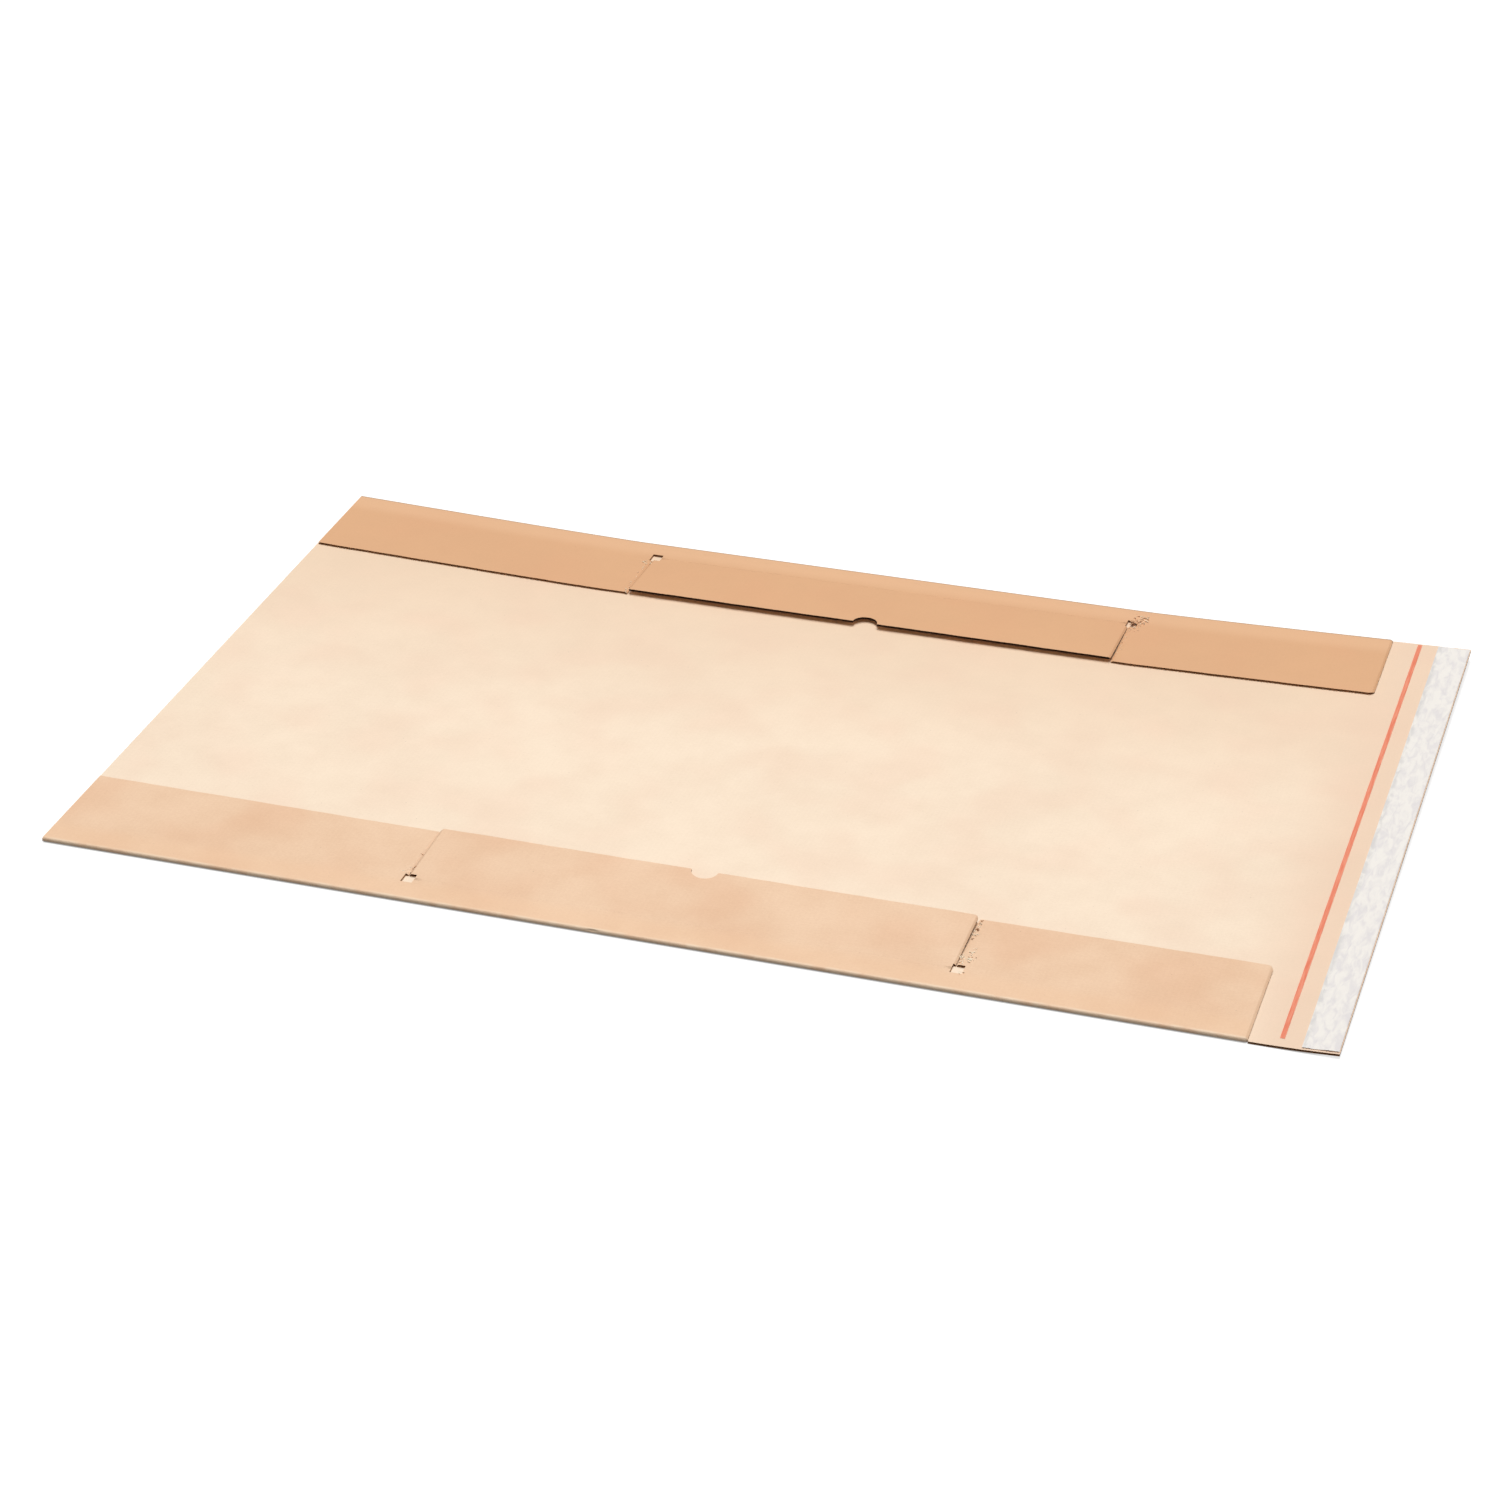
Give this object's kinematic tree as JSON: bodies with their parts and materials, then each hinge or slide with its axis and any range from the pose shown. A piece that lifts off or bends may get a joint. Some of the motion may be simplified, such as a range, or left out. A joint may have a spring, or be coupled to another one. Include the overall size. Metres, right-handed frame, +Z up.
{
  "type": "wraparound mailer",
  "caption": "Flat corrugated wraparound mailer, open, with folded-in sides, hinged centre flaps with thumb notches, a tear strip and a lined adhesive closure.",
  "frame": {"origin": "on the table under the middle of the mailer", "axes": "+X along the length, towards the end with the tear strip and the adhesive closure; +Y towards the rear folded side; +Z up"},
  "size_m": [1, 0.634, 0.0113],
  "materials": {
    "board_inside": "pale kraft liner, matt",
    "board_outside": "brown kraft liner, matt with a faint sheen",
    "tear_film": "red film tape",
    "adhesive": "clear hot-melt adhesive",
    "liner_paper": "white silicone paper, slightly crinkled"
  },
  "bodies": {
    "board": {"mailer_board": "board_inside", "tear_strip": "tear_film", "adhesive_strip": "adhesive", "release_liner": "liner_paper"},
    "front_flap": {"front_centre_flap": "board_outside"},
    "rear_flap": {"rear_centre_flap": "board_outside"}
  },
  "joints": [
    {"name": "front_flap_hinge", "type": "hinge", "parent": "board", "child": "front_flap", "pos_m": [0.0025, -0.289, 0.0039], "axis": [1, 0, 0], "range_deg": [-2.5, 175]},
    {"name": "rear_flap_hinge", "type": "hinge", "parent": "board", "child": "rear_flap", "pos_m": [0.0025, 0.289, 0.0039], "axis": [-1, 0, 0], "range_deg": [-2.5, 175]}
  ]
}
